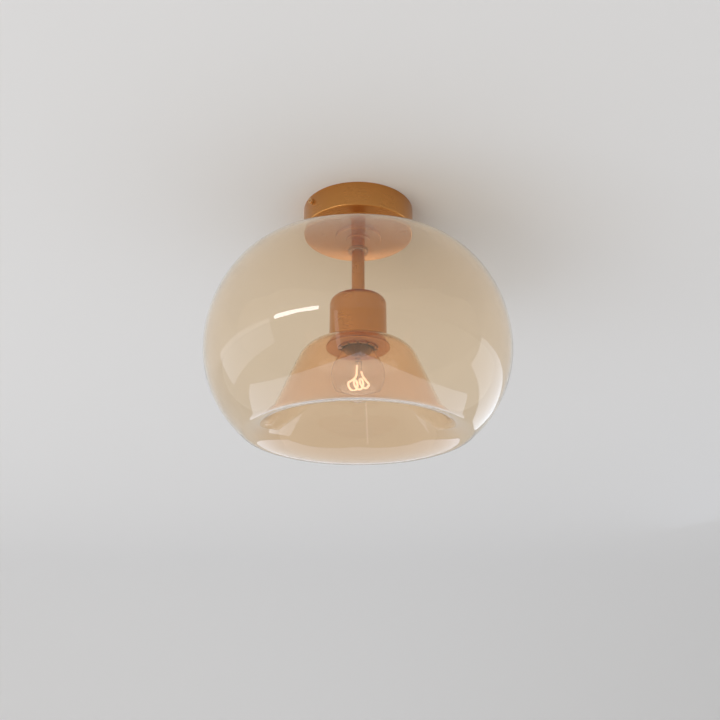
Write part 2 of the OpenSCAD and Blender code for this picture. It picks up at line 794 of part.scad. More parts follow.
module holder_terminals() {
    length = terminal_w;
    color("gold") on_bar() for (side = [0, 180]) rotate([0, 0, side]) difference() {
        translate([terminal_u - length / 2, -terminal_w / 2, z_carrier_top])
            cube([length, terminal_w, terminal_h]);
        bar_rod(wire_d / 2 + thread_gap, terminal_u - length, terminal_u + length, z_terminal_wire);
        translate([terminal_u, 0, 0])
            rod(terminal_screw_d / 2 + thread_gap, z_terminal_wire, z_carrier_top + terminal_h + cut);
    }
}

module holder_terminal_screws() {
    slot_w = 0.5;
    z_low = z_terminal_wire + wire_d / 2 + thread_gap;
    z_high = z_carrier_top + terminal_h + 0.8;
    color("silver") on_bar() for (side = [-1, 1]) translate([side * terminal_u, 0, 0])
        difference() {
            rod(terminal_screw_d / 2, z_low, z_high);
            translate([-terminal_screw_d, -slot_w / 2, z_high - slot_w])
                cube([2 * terminal_screw_d, slot_w, 2 * slot_w]);
        }
}

module live_wire() {
    color("saddlebrown") on_bar() tube_along(smooth(live_points, 4), wire_d / 2, [0, 0, 1]);
}

module neutral_wire() {
    color("royalblue") on_bar() tube_along(smooth(neutral_points, 4), wire_d / 2, [0, 0, 1]);
}

// Ring that carries the glass, with a threaded hub inside the cup
module shade_ring() {
    edge = 0.3;
    r = ring_d / 2;
    z_low = z_ring - ring_t;
    color("darkgoldenrod") turned([[hub_r, z_low], [r - edge, z_low], [r, z_low + edge],
        [r, z_ring - edge], [r - edge, z_ring], [hub_r + hub_wall, z_ring],
        [hub_r + hub_wall, z_ring + hub_h], [hub_r, z_ring + hub_h]]);
}

module neck_gasket() {
    in_r = cup_r + fit_gap;
    out_r = ring_d / 2 - 0.4;
    color("lightyellow") turned([[in_r, z_ring], [out_r, z_ring], [out_r, z_neck],
        [in_r + gasket_sleeve_t, z_neck], [in_r + gasket_sleeve_t, z_neck + gasket_sleeve_h],
        [in_r, z_neck + gasket_sleeve_h]]);
}

// Bulb
module bulb_envelope() {
    color("antiquewhite", 0.4) turned(concat(bulb_skin(0), reversed(bulb_skin(bulb_wall))));
}

module bulb_cap() {
    crest = cap_thread_d / 2;
    outside = wave(crest, cap_wave, cap_pitch, z_cap_top - 1, z_cap_bottom + cap_seat);
    inside = [for (p = outside) p - [cap_wall, 0]];
    color("silver") turned(concat(
        [[insulator_r, z_cap_top]], outside,
        [[crest, z_cap_bottom], [crest - cap_wall, z_cap_bottom]],
        reversed(inside), [[insulator_r, z_cap_top - 1]]));
}

module bulb_insulator() {
    z_low = z_cap_top - 1.5;
    color("black") turned([[0, z_low], [insulator_r - thread_gap, z_low],
        [insulator_r - thread_gap, z_cap_top], [tip_r, z_tip - tip_h], [0, z_tip - tip_h]]);
}

module bulb_contact() {
    color("silver") turned([[0, z_tip - tip_h], [tip_r - 0.4, z_tip - tip_h],
        [tip_r - 1.4, z_tip], [0, z_tip]]);
}

module bulb_mount() {
    color("antiquewhite", 0.4) {
        turned([[0, z_press], [mount_r, z_press], [mount_r, z_neck_seat - flare_h],
            [mount_flare_r, z_neck_seat - flare_t], [mount_flare_r, z_neck_seat], [0, z_neck_seat]]);
        translate([-press_w / 2, -press_t / 2, z_press - press_h / 2])
            cube([press_w, press_t, press_h]);
    }
}

// The glowing filament: curls on a level axis between two leads
curl_turn = 37;
curl_steps = 14;
curl_count = 2.75;
z_curl = z_bulb + curl_height;
function curl_point(t) = let (a = 360 * t + 100, s = (t - curl_count / 2) * curl_pitch,
    across = curl_r * cos(a))
    [s * cos(curl_turn) + across * sin(curl_turn), across * cos(curl_turn) - s * sin(curl_turn),
    z_curl + curl_r * sin(a)];
function curls() = [for (i = [0 : curl_count * curl_steps]) curl_point(i / curl_steps)];
lead_left = [-1, 0, z_curl + 21.3];
lead_right = [3.4, 0, z_curl + 14.2];
filament_path = concat([lead_left, [-1.3, 0, z_curl + 15], [-2.6, 1.5, z_curl + 8.5]], curls(),
    [[5.4, -1, z_curl + 8], lead_right]);

// The least gap between stretches of the filament that are half a curl or more apart
function least_gap(p, d, apart) =
    min([for (i = [0 : len(p) - 1 - apart], k = [i + apart : len(p) - 1]) norm(p[i] - p[k])]) - d;
echo(filament_gap = least_gap(filament_path, filament_d, curl_steps / 2));

module filament() {
    color("orange") tube_along(filament_path, filament_d / 2, [0, 1, 0]);
}

module filament_leads() {
    z_top = z_press - press_h / 2;
    color("silver") {
        translate([lead_left.x, 0, 0]) rod(lead_r, lead_left.z + lead_gap, z_top);
        translate([lead_right.x, 0, 0]) rod(lead_r, lead_right.z + lead_gap, z_top);
    }
}

ceiling_bracket();
terminal_block();
terminal_sleeves();
terminal_screws();
terminal_fixing_screw();
earth_screw();
earth_tags();
earth_wire();
canopy();
canopy_screw_left();
canopy_screw_right();
canopy_washer_left();
canopy_washer_right();
canopy_nipple();
canopy_nut();
tooth_washer();
stem_flange();
flange_nut();
stem_tube();
glass_grommet();
glass_bowl();
glass_bell();
cup_nipple();
cup();
cup_nut();
lampholder_cap();
lampholder_body();
contact_carrier();
thread_shell();
centre_contact();
holder_terminals();
holder_terminal_screws();
live_wire();
neutral_wire();
shade_ring();
neck_gasket();
bulb_envelope();
bulb_cap();
bulb_insulator();
bulb_contact();
bulb_mount();
filament();
filament_leads();
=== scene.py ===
import math

import bmesh
import bpy
from mathutils import Matrix, Vector


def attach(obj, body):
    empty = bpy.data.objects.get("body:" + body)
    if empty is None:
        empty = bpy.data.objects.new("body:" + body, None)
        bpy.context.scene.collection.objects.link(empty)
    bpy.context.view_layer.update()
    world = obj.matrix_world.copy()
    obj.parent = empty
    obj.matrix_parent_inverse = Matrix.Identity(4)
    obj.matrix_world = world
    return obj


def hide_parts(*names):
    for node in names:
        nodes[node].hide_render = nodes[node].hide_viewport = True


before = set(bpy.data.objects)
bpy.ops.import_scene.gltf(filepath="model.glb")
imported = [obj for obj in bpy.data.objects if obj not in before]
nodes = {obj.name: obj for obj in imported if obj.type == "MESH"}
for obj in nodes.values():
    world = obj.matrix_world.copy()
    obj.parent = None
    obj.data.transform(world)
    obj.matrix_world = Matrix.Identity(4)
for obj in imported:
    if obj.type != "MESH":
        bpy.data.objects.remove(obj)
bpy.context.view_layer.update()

scene = bpy.context.scene
mm = 0.001

print("ceiling light: frame loaded,", len(nodes), "nodes")


# Light goes through up to eight glass skins and the bulb before it meets the ceiling
renderDepth = {"max_bounces": 32, "transmission_bounces": 32, "transparent_max_bounces": 32, "glossy_bounces": 8}
for name, value in renderDepth.items():
    setattr(scene.cycles, name, value)
scene.view_settings.view_transform = "Standard"


# Materials

def linearColour(hexText):
    channels = [int(hexText[i:i + 2], 16) / 255 for i in (0, 2, 4)]
    return [c / 12.92 if c <= 0.04045 else ((c + 0.055) / 1.055) ** 2.4 for c in channels] + [1.0]


def addNode(tree, kind, settings=None, links=None):
    node = tree.nodes.new(kind)
    for name, value in (settings or {}).items():
        if isinstance(name, str) and hasattr(node, name):
            setattr(node, name, value)
        else:
            node.inputs[name].default_value = value
    for name, source in (links or {}).items():
        tree.links.new(source, node.inputs[name])
    return node


def newMaterial(name):
    material = bpy.data.materials.new(name)
    material.use_nodes = True
    tree = material.node_tree
    tree.nodes.clear()
    place = addNode(tree, "ShaderNodeTexCoord").outputs["Object"]
    output = addNode(tree, "ShaderNodeOutputMaterial")
    return material, tree, place, output


def grainOf(size, detail):
    # noise settings for a grain of so many millimetres
    return {"Scale": 1 / (size * mm), "Detail": detail}


def spreadAbout(middle, spread):
    # range settings that lay the middle of a noise, where most of it lies, about a roughness
    return {"From Min": 0.35, "From Max": 0.65, "To Min": middle - spread, "To Max": middle + spread}


def betweenColours(first, second):
    return {"data_type": "RGBA", 6: linearColour(first), 7: linearColour(second)}


def distanceFromAxis(tree, place):
    # a point's three coordinates, and how far it lies from the light's axis
    parts = addNode(tree, "ShaderNodeSeparateXYZ", links={0: place}).outputs
    flat = addNode(tree, "ShaderNodeCombineXYZ", links={"X": parts["X"], "Y": parts["Y"]}).outputs[0]
    radius = addNode(tree, "ShaderNodeVectorMath", {"operation": "LENGTH"}, {0: flat}).outputs["Value"]
    return parts, radius


def turnedMetal(name, finish):
    # sheet or bar turned on a lathe and brushed while it spins, so its fine lines run round the light's axis
    material, tree, place, output = newMaterial(name)
    parts, radius = distanceFromAxis(tree, place)
    angle = addNode(tree, "ShaderNodeMath", {"operation": "ARCTAN2"}, {0: parts["Y"], 1: parts["X"]}).outputs[0]
    along = addNode(tree, "ShaderNodeMath", {"operation": "MULTIPLY", 1: finish["lineRun"] * mm},
                    {0: angle}).outputs[0]
    lathe = addNode(tree, "ShaderNodeCombineXYZ", links={"X": along, "Y": radius, "Z": parts["Z"]}).outputs[0]
    lines = addNode(tree, "ShaderNodeTexNoise", grainOf(finish["lineWidth"], 3.0), {"Vector": lathe}).outputs["Fac"]
    clouds = addNode(tree, "ShaderNodeTexNoise", grainOf(finish["cloudSize"], 4.0), {"Vector": place}).outputs["Fac"]
    lineGloss = addNode(tree, "ShaderNodeMapRange", spreadAbout(0, finish["lineGloss"]),
                        {"Value": lines}).outputs["Result"]
    cloudGloss = addNode(tree, "ShaderNodeMapRange", spreadAbout(finish["roughness"], finish["cloudGloss"]),
                         {"Value": clouds}).outputs["Result"]
    gloss = addNode(tree, "ShaderNodeMath", {"operation": "ADD"}, {0: lineGloss, 1: cloudGloss}).outputs[0]
    colour = addNode(tree, "ShaderNodeMix", betweenColours(finish["colour"], finish["tarnish"]),
                     {0: clouds}).outputs[2]
    bump = addNode(tree, "ShaderNodeBump", {"Strength": finish["lineDepth"], "Distance": finish["lineWidth"] * mm / 4},
                   {"Height": lines})
    tangent = addNode(tree, "ShaderNodeTangent", {"direction_type": "RADIAL", "axis": "Z"}).outputs[0]
    shader = addNode(tree, "ShaderNodeBsdfPrincipled",
                     {"Metallic": 1.0, "Anisotropic": finish["grain"], "Coat Weight": finish["lacquer"],
                      "Coat Roughness": finish["lacquerRoughness"]},
                     {"Base Color": colour, "Roughness": gloss, "Normal": bump.outputs[0], "Tangent": tangent})
    tree.links.new(shader.outputs[0], output.inputs["Surface"])
    return material


platedSkin = {"glossSpread": 0.06, "reliefHeight": 0.02}


def platedMetal(name, finish):
    # a plated or bare small part: even metal whose gloss is broken by the crystals or the handling of its skin
    material, tree, place, output = newMaterial(name)
    crystals = addNode(tree, "ShaderNodeTexVoronoi", {"Scale": 1 / (finish["crystal"] * mm)},
                       {"Vector": place}).outputs["Distance"]
    stains = addNode(tree, "ShaderNodeTexNoise", grainOf(finish["stain"], 4.0), {"Vector": place}).outputs["Fac"]
    gloss = addNode(tree, "ShaderNodeMapRange", spreadAbout(finish["roughness"], platedSkin["glossSpread"]),
                    {"Value": stains}).outputs["Result"]
    colour = addNode(tree, "ShaderNodeMix", betweenColours(finish["colour"], finish["tarnish"]),
                     {0: stains}).outputs[2]
    bump = addNode(tree, "ShaderNodeBump",
                   {"Strength": finish["relief"], "Distance": platedSkin["reliefHeight"] * mm}, {"Height": crystals})
    shader = addNode(tree, "ShaderNodeBsdfPrincipled", {"Metallic": 1.0},
                     {"Base Color": colour, "Roughness": gloss, "Normal": bump.outputs[0]})
    tree.links.new(shader.outputs[0], output.inputs["Surface"])
    return material


mouldedSkin = {"glossSpread": 0.08, "gritRelief": 0.25, "gritHeight": 0.05}


def mouldedPlastic(name, finish):
    # injection-moulded or fired body with a fine matt skin
    material, tree, place, output = newMaterial(name)
    grit = addNode(tree, "ShaderNodeTexNoise", grainOf(finish["grit"], 2.0), {"Vector": place}).outputs["Fac"]
    flow = addNode(tree, "ShaderNodeTexNoise", grainOf(finish["flow"], 3.0), {"Vector": place}).outputs["Fac"]
    gloss = addNode(tree, "ShaderNodeMapRange", spreadAbout(finish["roughness"], mouldedSkin["glossSpread"]),
                    {"Value": grit}).outputs["Result"]
    colour = addNode(tree, "ShaderNodeMix", betweenColours(finish["colour"], finish["shade"]), {0: flow}).outputs[2]
    bump = addNode(tree, "ShaderNodeBump",
                   {"Strength": mouldedSkin["gritRelief"], "Distance": mouldedSkin["gritHeight"] * mm},
                   {"Height": grit})
    shader = addNode(tree, "ShaderNodeBsdfPrincipled", {"IOR": finish["ior"]},
                     {"Base Color": colour, "Roughness": gloss, "Normal": bump.outputs[0]})
    tree.links.new(shader.outputs[0], output.inputs["Surface"])
    return material


def clearSoftPlastic(name, finish):
    # pressed natural silicone: milky clear, with a fine matt skin from its mould
    material, tree, place, output = newMaterial(name)
    cloud = addNode(tree, "ShaderNodeTexNoise", grainOf(finish["cloud"], 2.0), {"Vector": place}).outputs["Fac"]
    gloss = addNode(tree, "ShaderNodeMapRange", spreadAbout(finish["roughness"], finish["glossSpread"]),
                    {"Value": cloud}).outputs["Result"]
    shader = addNode(tree, "ShaderNodeBsdfPrincipled",
                     {"Base Color": linearColour(finish["colour"]), "IOR": finish["ior"],
                      "Transmission Weight": finish["clearness"]}, {"Roughness": gloss})
    tree.links.new(shader.outputs[0], output.inputs["Surface"])
    return material


def blownGlass(name, finish):
    # clear glass tinted in the mass, with a deeper amber painted over the bell as a painted reflection of the lit
    # brass it mirrors
    material, tree, place, output = newMaterial(name)
    waves = addNode(tree, "ShaderNodeTexNoise", grainOf(finish["wave"], 1.0), {"Vector": place}).outputs["Fac"]
    bump = addNode(tree, "ShaderNodeBump", {"Strength": finish["waveDepth"], "Distance": finish["waveHeight"] * mm},
                   {"Height": waves})
    # the bell is what lies inside a leaning cone about the axis; there the tint turns to the deeper amber of the
    # painted reflection
    parts, radius = distanceFromAxis(tree, place)
    lean = addNode(tree, "ShaderNodeMath",
                   {"operation": "MULTIPLY_ADD", 1: finish["bellLean"], 2: finish["bellReach"] * mm},
                   {0: parts["Z"]}).outputs[0]
    outside = addNode(tree, "ShaderNodeMath", {"operation": "ADD"}, {0: radius, 1: lean}).outputs[0]
    # how far a point lies inside the bell, which sets how much of the painted reflection's deeper amber it gets; the
    # wall is not thicker there
    thick = addNode(tree, "ShaderNodeMapRange",
                    {"From Min": finish["bellBlend"] * mm, "From Max": -finish["bellBlend"] * mm},
                    {"Value": outside}).outputs["Result"]
    colour = addNode(tree, "ShaderNodeMix", betweenColours(finish["tint"], finish["paintedBellTint"]),
                     {0: thick}).outputs[2]
    glass = addNode(tree, "ShaderNodeBsdfPrincipled",
                    {"Transmission Weight": 1.0, "IOR": finish["ior"], "Specular IOR Level": finish["gloss"],
                     "Roughness": 0.0}, {"Base Color": colour, "Normal": bump.outputs[0]})
    # lamps and scattered light go straight through, and as they cross many skins, each takes little
    skin = [c ** finish["skinDepth"] * finish["shadow"] for c in linearColour(finish["tint"])[:3]] + [1.0]
    through = addNode(tree, "ShaderNodeBsdfTransparent", {"Color": skin})
    path = addNode(tree, "ShaderNodeLightPath").outputs
    soft = addNode(tree, "ShaderNodeMath", {"operation": "MAXIMUM"},
                   {0: path["Is Shadow Ray"], 1: path["Is Diffuse Ray"]}).outputs[0]
    mix = addNode(tree, "ShaderNodeMixShader", links={0: soft, 1: glass.outputs[0], 2: through.outputs[0]})
    tree.links.new(mix.outputs[0], output.inputs["Surface"])
    return material


def stripedSleeve(name, finish):
    # silicone sleeve of the earth wire, green with a yellow stripe along either side of the bend it lies in
    material, tree, place, output = newMaterial(name)
    turned = addNode(tree, "ShaderNodeMapping", {"Rotation": (0, 0, math.radians(-finish["turn"]))},
                     {"Vector": place}).outputs[0]
    across = addNode(tree, "ShaderNodeSeparateXYZ", links={0: turned}).outputs["Y"]
    reach = addNode(tree, "ShaderNodeMath", {"operation": "ABSOLUTE"}, {0: across}).outputs[0]
    stripe = addNode(tree, "ShaderNodeMath", {"operation": "GREATER_THAN", 1: finish["stripeStart"] * mm},
                     {0: reach}).outputs[0]
    colour = addNode(tree, "ShaderNodeMix", betweenColours(finish["colour"], finish["stripe"]),
                     {0: stripe}).outputs[2]
    shader = addNode(tree, "ShaderNodeBsdfPrincipled", {"Roughness": finish["roughness"], "IOR": finish["ior"]},
                     {"Base Color": colour})
    tree.links.new(shader.outputs[0], output.inputs["Surface"])
    return material


def glowingStrip(name, finish):
    # light strip under a skin of phosphor silicone: a soft warm line of light
    material, tree, place, output = newMaterial(name)
    grains = addNode(tree, "ShaderNodeTexNoise", grainOf(finish["grain"], 2.0), {"Vector": place}).outputs["Fac"]
    glow = addNode(tree, "ShaderNodeMix", betweenColours(finish["glow"], finish["glowGap"]), {0: grains}).outputs[2]
    shader = addNode(tree, "ShaderNodeBsdfPrincipled",
                     {"Base Color": linearColour(finish["skin"]), "Roughness": finish["roughness"],
                      "Emission Strength": finish["strength"]}, {"Emission Color": glow})
    tree.links.new(shader.outputs[0], output.inputs["Surface"])
    return material


# Brass, brushed and lacquered: a warm satin sheen; its lines are drawn wider than real so that they can be seen
satinBrass = turnedMetal("satinBrushedBrass", {
    "colour": "CB8E4D", "tarnish": "C28748", "roughness": 0.3, "grain": 0.35, "lacquer": 0.25,
    "lacquerRoughness": 0.12, "lineWidth": 0.5, "lineRun": 1.2, "lineGloss": 0.018, "lineDepth": 0.03,
    "cloudSize": 30, "cloudGloss": 0.025})
# Brass screws, polished and bare: a paler and tighter gloss
screwBrass = turnedMetal("polishedBrass", {
    "colour": "EBC896", "tarnish": "E2BC86", "roughness": 0.24, "grain": 0.0, "lacquer": 0.0,
    "lacquerRoughness": 0.12, "lineWidth": 0.3, "lineRun": 3, "lineGloss": 0.02, "lineDepth": 0.06,
    "cloudSize": 6, "cloudGloss": 0.02})
# Brass, stamped and bare: bright yellow with faint stains
contactBrass = platedMetal("bareBrass", {
    "colour": "D9B267", "tarnish": "C79D55", "roughness": 0.25, "crystal": 0.6, "stain": 4, "relief": 0.1})

# Steel, zinc plated: cool and grey, its gloss broken by crystals
zincSteel = platedMetal("zincPlatedSteel", {
    "colour": "C9CCCE", "tarnish": "B9BCBF", "roughness": 0.32, "crystal": 1.6, "stain": 9, "relief": 0.25})
# Copper, tinned: a dull silver skin
tinnedCopper = platedMetal("tinnedCopper", {
    "colour": "D2D0CB", "tarnish": "C2BFB8", "roughness": 0.38, "crystal": 0.8, "stain": 3, "relief": 0.2})
# Brass, nickel plated: a smooth, pale and slightly warm gloss
nickelPlate = platedMetal("nickelPlatedBrass", {
    "colour": "D2BE94", "tarnish": "C6AE80", "roughness": 0.22, "crystal": 0.9, "stain": 6, "relief": 0.1})
# Plastic, metallised to match the brass: darker and blunter than metal
metallisedPlastic = platedMetal("brassMetallisedPlastic", {
    "colour": "B98644", "tarnish": "AA783A", "roughness": 0.32, "crystal": 1.2, "stain": 12, "relief": 0.1})

# Polyamide, moulded: off-white and softly matt
whitePolyamide = mouldedPlastic("mouldedWhitePolyamide", {
    "colour": "E4E2DC", "shade": "DDDAD2", "roughness": 0.45, "grit": 0.4, "flow": 10, "ior": 1.53})
# Steatite, pressed and fired: chalky cream
steatite = mouldedPlastic("firedSteatite", {
    "colour": "E2DCCD", "shade": "D8D1BF", "roughness": 0.6, "grit": 0.5, "flow": 5, "ior": 1.58})
# Glass, fused round the bulb's tip: near black and wet-looking
blackFusedGlass = mouldedPlastic("blackFusedGlass", {
    "colour": "0D0D10", "shade": "15151A", "roughness": 0.14, "grit": 1.2, "flow": 4, "ior": 1.5})
# Silicone, extruded as sleeves: plain colours with a soft, matt gloss
brownSilicone = mouldedPlastic("brownSiliconeSleeve", {
    "colour": "5A341E", "shade": "4F2D1A", "roughness": 0.5, "grit": 0.3, "flow": 6, "ior": 1.42})
blueSilicone = mouldedPlastic("blueSiliconeSleeve", {
    "colour": "2457A8", "shade": "1F4D98", "roughness": 0.5, "grit": 0.3, "flow": 6, "ior": 1.42})
greenSilicone = stripedSleeve("greenYellowSiliconeSleeve", {
    "colour": "3F8A2E", "stripe": "D9C21E", "stripeStart": 0.75, "turn": 35.5, "roughness": 0.5, "ior": 1.42})
# Silicone, pressed without pigment: cloudy clear
clearSilicone = clearSoftPlastic("naturalSilicone", {
    "colour": "F5E4CF", "roughness": 0.18, "glossSpread": 0.05, "cloud": 3, "ior": 1.41, "clearness": 0.92})

# Soda-lime glass, amber in the mass and blown: clear and honey-coloured, with sharp images of the room in its skin
amberGlass = blownGlass("amberSodaLimeGlass", {
    "tint": "FAEEDC", "paintedBellTint": "F9E1C4", "bellLean": 0.42, "bellReach": 8, "bellBlend": 8, "ior": 1.5,
    "gloss": 1.0, "wave": 60, "waveDepth": 0.06, "waveHeight": 1, "skinDepth": 0.4, "shadow": 0.9})
# Soda-lime glass, blown thin: almost without colour, seen by its rims and highlights
bulbGlass = blownGlass("clearBulbGlass", {
    "tint": "FAF9F8", "paintedBellTint": "FAF9F8", "bellLean": 0, "bellReach": 100, "bellBlend": 8, "ior": 1.5,
    "gloss": 0.5, "wave": 20, "waveDepth": 0.03, "waveHeight": 1, "skinDepth": 0.4, "shadow": 0.98})
# Phosphor silicone over a lit strip: a soft, nearly white glow
phosphorStrip = glowingStrip("glowingPhosphorSilicone", {
    "skin": "F2C88F", "glow": "F6F0F3", "glowGap": "F2E9EC", "strength": 1.2, "grain": 1.1, "roughness": 0.45})

finishes = {
    "ceiling_bracket": zincSteel, "terminal_block": whitePolyamide, "terminal_sleeves": contactBrass,
    "terminal_screws": zincSteel, "terminal_fixing_screw": zincSteel, "earth_screw": contactBrass,
    "earth_tags": tinnedCopper, "earth_wire": greenSilicone, "canopy": satinBrass,
    "canopy_screw_left": screwBrass, "canopy_screw_right": screwBrass,
    "canopy_washer_left": screwBrass, "canopy_washer_right": screwBrass,
    "canopy_nipple": zincSteel, "canopy_nut": zincSteel, "tooth_washer": zincSteel,
    "stem_flange": satinBrass, "flange_nut": satinBrass, "stem_tube": satinBrass,
    "glass_grommet": clearSilicone, "glass_bowl": amberGlass, "glass_bell": amberGlass,
    "cup_nipple": zincSteel, "cup": satinBrass, "cup_nut": zincSteel,
    "lampholder_cap": metallisedPlastic, "lampholder_body": metallisedPlastic,
    "contact_carrier": steatite, "thread_shell": contactBrass, "centre_contact": contactBrass,
    "holder_terminals": contactBrass, "holder_terminal_screws": zincSteel, "live_wire": brownSilicone,
    "neutral_wire": blueSilicone, "shade_ring": satinBrass, "neck_gasket": clearSilicone,
    "bulb_envelope": bulbGlass, "bulb_cap": nickelPlate, "bulb_insulator": blackFusedGlass,
    "bulb_contact": tinnedCopper, "bulb_mount": bulbGlass, "filament": phosphorStrip,
    "filament_leads": tinnedCopper,
}
for name, material in finishes.items():
    nodes[name].data.materials.clear()
    nodes[name].data.materials.append(material)
print("ceiling light: materials on", len(finishes), "nodes")


# Pieces, drawn in millimetres about the light's axis and scaled to metres when they are finished; a rounding
# wider than wideRounding gets more segments, and crease is the angle from which an edge stays sharp
making = {"spunGap": 0.0005, "sweptGap": 0.001, "sameCorner": 0.01, "wideRounding": 1, "wideSegments": 5,
          "fineSegments": 3, "crease": 40}


def startOutline(x, z):
    drawing = bmesh.new()
    return drawing, drawing.verts.new((x, 0, z))


def lineTo(drawing, end, x, z):
    step = bmesh.ops.extrude_vert_indiv(drawing, verts=[end])
    vert = step["verts"][0]
    vert.co = (x, 0, z)
    return vert


def arcRound(drawing, end, centre, degrees, steps):
    # carries the outline's end round a centre, towards +Z from +X where degrees are positive
    turn = bmesh.ops.spin(drawing, geom=[end], cent=(centre[0], 0, centre[1]), axis=(0, -1, 0),
                          angle=math.radians(degrees), steps=steps)
    return next(part for part in turn["geom_last"] if isinstance(part, bmesh.types.BMVert))


def spinOutline(drawing, steps):
    # turns the outline about the light's axis into a closed skin, with single points where it meets the axis
    bmesh.ops.spin(drawing, geom=drawing.verts[:] + drawing.edges[:], cent=(0, 0, 0), axis=(0, 0, 1),
                   angle=math.tau, steps=steps, use_merge=True)
    bmesh.ops.remove_doubles(drawing, verts=drawing.verts, dist=making["spunGap"])
    bmesh.ops.recalc_face_normals(drawing, faces=drawing.faces)


def onRim(edge, x, z):
    # whether both ends of an edge lie on the circle that a corner of the outline draws
    return all(abs(math.hypot(v.co.x, v.co.y) - x) < making["sameCorner"] and abs(v.co.z - z) < making["sameCorner"]
               for v in edge.verts)


def turnPart(outline, steps=192):
    # spins a closed outline of (x, z, rounding) corners and rounds its edges
    drawing, end = startOutline(outline[0][0], outline[0][1])
    first = end
    for x, z, _ in outline[1:]:
        end = lineTo(drawing, end, x, z)
    drawing.edges.new((end, first))
    spinOutline(drawing, steps)
    for x, z, rounding in outline:
        if rounding:
            segments = making["wideSegments"] if rounding > making["wideRounding"] else making["fineSegments"]
            bmesh.ops.bevel(drawing, geom=[edge for edge in drawing.edges if onRim(edge, x, z)], offset=rounding,
                            offset_type="OFFSET", segments=segments, profile=0.5, affect="EDGES", material=-1)
    return drawing


def smoothPath(points, steps):
    # runs softly through the points, with a few steps between each two
    path = []
    for i in range(len(points) - 1):
        a, b, c, d = (Vector(points[max(0, min(i + k, len(points) - 1))]) for k in (-1, 0, 1, 2))
        for k in range(steps):
            t = k / steps
            path.append(0.5 * (2 * b + (c - a) * t + (2 * a - 5 * b + 4 * c - d) * t * t
                               + (3 * b - a - 3 * c + d) * t ** 3))
    return path + [Vector(points[-1])]


def sweepTube(path, radius, sides=4):
    # a round tube along a path, drawn as a curve and taken back as a mesh
    line = bpy.data.curves.new("run", "CURVE")
    line.dimensions = "3D"
    line.bevel_depth = radius
    line.bevel_resolution = sides
    line.use_fill_caps = True
    spline = line.splines.new("POLY")
    spline.points.add(len(path) - 1)
    for point, place in zip(spline.points, path):
        point.co = (*place, 1)
    holder = bpy.data.objects.new("run", line)
    scene.collection.objects.link(holder)
    bpy.context.view_layer.update()
    mesh = bpy.data.meshes.new_from_object(holder.evaluated_get(bpy.context.evaluated_depsgraph_get()))
    bpy.data.objects.remove(holder)
    bpy.data.curves.remove(line)
    drawing = bmesh.new()
    drawing.from_mesh(mesh)
    bpy.data.meshes.remove(mesh)
    bmesh.ops.remove_doubles(drawing, verts=drawing.verts, dist=making["sweptGap"])
    bmesh.ops.recalc_face_normals(drawing, faces=drawing.faces)
    return drawing


def finishPiece(drawing, name, replaced, body, material, evenNormals=False):
    bmesh.ops.scale(drawing, vec=(mm, mm, mm), verts=drawing.verts)
    mesh = bpy.data.meshes.new(name)
    drawing.to_mesh(mesh)
    drawing.free()
    mesh.shade_smooth()
    mesh.set_sharp_from_angle(angle=math.radians(making["crease"]))
    mesh.materials.append(material)
    piece = bpy.data.objects.new(name, mesh)
    scene.collection.objects.link(piece)
    if evenNormals:
        piece.modifiers.new("evenNormals", "WEIGHTED_NORMAL").keep_sharp = True
    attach(piece, body)
    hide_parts(*replaced)
    return piece


# Double-walled glass: crown, shoulder, flank, fold and bell as one run of arcs
shade = {"widest": 318, "height": 211.7, "widestBelowCrown": 120, "neckLevel": -162.5, "bellHeight": 96.2,
         "crownRadius": 365, "crownSlope": 13.5, "shoulderSlope": 55, "foldStart": 50, "foldRadius": 9,
         "bellTopRadius": 53.1, "bellSlope": 23.4, "bellRound": 27, "neckHole": 30.9, "crownHole": 9,
         "wall": 2, "steps": 256,
         "arcSteps": {"crown": 12, "shoulder": 20, "flank": 16, "low": 24, "fold": 10, "inner": 18, "round": 14}}


def polar(degrees):
    return Vector((math.cos(math.radians(degrees)), math.sin(math.radians(degrees))))


def shadeCentres(s):
    # centres and radii of the arcs, each touching the next on a common normal
    rad = math.radians
    fold = s["neckLevel"] - s["bellHeight"]
    crown = fold + s["height"]
    widest = crown - s["widestBelowCrown"]
    aCrown, aShoulder = 90 - s["crownSlope"], 90 - s["shoulderSlope"]
    aFold, aBell = -s["foldStart"], s["bellSlope"] - 180
    edge = Vector((0, crown - s["crownRadius"])) + s["crownRadius"] * polar(aCrown)
    toWidest = (s["widest"] / 2 - edge.x, edge.y - widest)
    runA, runB = math.cos(rad(aShoulder)) - math.cos(rad(aCrown)), 1 - math.cos(rad(aShoulder))
    fallA, fallB = math.sin(rad(aCrown)) - math.sin(rad(aShoulder)), math.sin(rad(aShoulder))
    det = runA * fallB - runB * fallA
    shoulder = (toWidest[0] * fallB - toWidest[1] * runB) / det
    flank = (toWidest[1] * runA - toWidest[0] * fallA) / det
    foldSine = math.sin(rad(s["foldStart"]))
    lowFlank = (widest - fold - s["foldRadius"] * (1 - foldSine)) / foldSine
    cCrown = Vector((0, crown - s["crownRadius"]))
    cShoulder = cCrown + (s["crownRadius"] - shoulder) * polar(aCrown)
    cFlank = cShoulder + (shoulder - flank) * polar(aShoulder)
    cLow = cFlank + (flank - lowFlank) * polar(0)
    cFold = cLow + (lowFlank - s["foldRadius"]) * polar(aFold)
    lean = math.tan(rad(s["bellSlope"]))
    spare = math.cos(rad(s["bellSlope"])) - lean * (1 - math.sin(rad(s["bellSlope"])))
    inner = (cFold.x - s["bellTopRadius"] - lean * s["bellHeight"]) / spare
    cInner = cFold + (s["foldRadius"] - inner) * polar(-90)
    roundReach = s["bellRound"] * math.tan(rad((90 - s["bellSlope"]) / 2))
    cRound = Vector((s["bellTopRadius"] - roundReach, s["neckLevel"] - s["bellRound"]))
    return {"angles": (aCrown, aShoulder, aFold, aBell), "crown": cCrown, "shoulder": cShoulder, "flank": cFlank,
            "low": cLow, "fold": cFold, "inner": cInner, "round": cRound}


